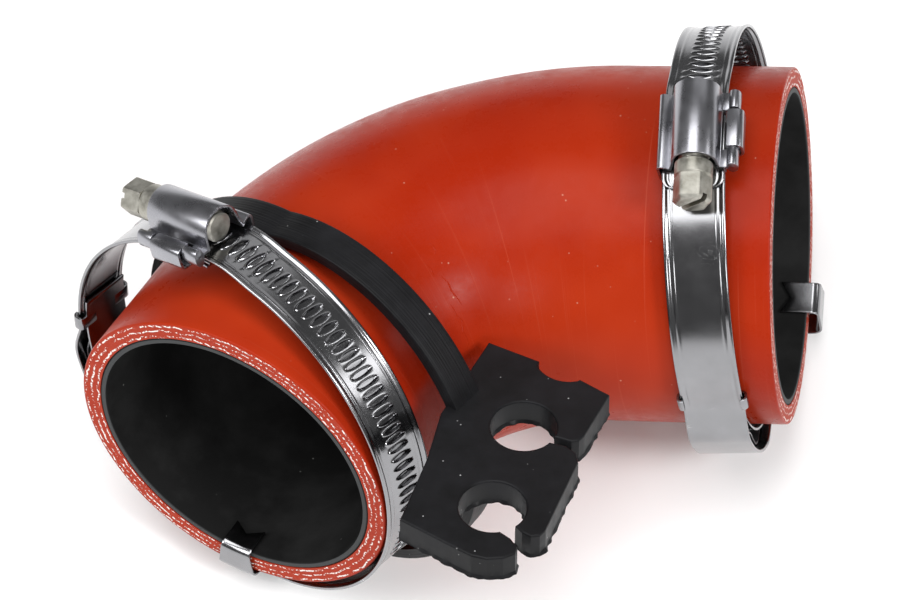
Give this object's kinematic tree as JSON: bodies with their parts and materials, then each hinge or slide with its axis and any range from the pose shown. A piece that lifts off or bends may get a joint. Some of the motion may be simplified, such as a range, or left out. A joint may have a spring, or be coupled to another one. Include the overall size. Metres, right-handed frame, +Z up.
{
  "type": "intercooler hose",
  "caption": "Bent reinforced silicone hose with a moulded rubber cable bracket strapped around its bend and a sprung worm drive clamp clipped on near each end.",
  "frame": {"origin": "middle of the footprint, on the surface that the assembly rests on", "axes": "+X along the longer leg, roughly, and out of its end; the shorter leg ends towards -Y; +Z up"},
  "size_m": [0.1508, 0.1292, 0.0891],
  "materials": {
    "hose": "satin orange-red silicone",
    "liner": "matt black inner layer",
    "bracket": "matt black moulded rubber",
    "band": "bright rolled stainless steel",
    "spring": "plain spring steel",
    "housing": "satin pressed stainless steel",
    "screw": "dull zinc plate",
    "clip": "bright sheet steel"
  },
  "bodies": {
    "hose": {"hose_wall": "hose", "inner_liner": "liner", "cable_bracket": "bracket", "right_clamp_band": "band", "right_wave_spring": "spring", "right_bridge_strip": "band", "right_screw_housing": "housing", "right_base_plate": "housing", "right_end_clip": "clip", "left_clamp_band": "band", "left_wave_spring": "spring", "left_bridge_strip": "band", "left_screw_housing": "housing", "left_base_plate": "housing", "left_end_clip": "clip"},
    "right_screw": {"right_worm_screw": "screw"},
    "left_screw": {"left_worm_screw": "screw"}
  },
  "joints": [
    {"name": "right_screw_turn", "type": "hinge", "parent": "hose", "child": "right_screw", "pos_m": [0.04425, 0.02243, 0.08429], "axis": [-0.0579, -0.9973, -0.044], "continuous": true},
    {"name": "left_screw_turn", "type": "hinge", "parent": "hose", "child": "left_screw", "pos_m": [-0.04922, 0.00392, 0.07978], "axis": [-0.7354, 0.5176, -0.4373], "continuous": true}
  ]
}
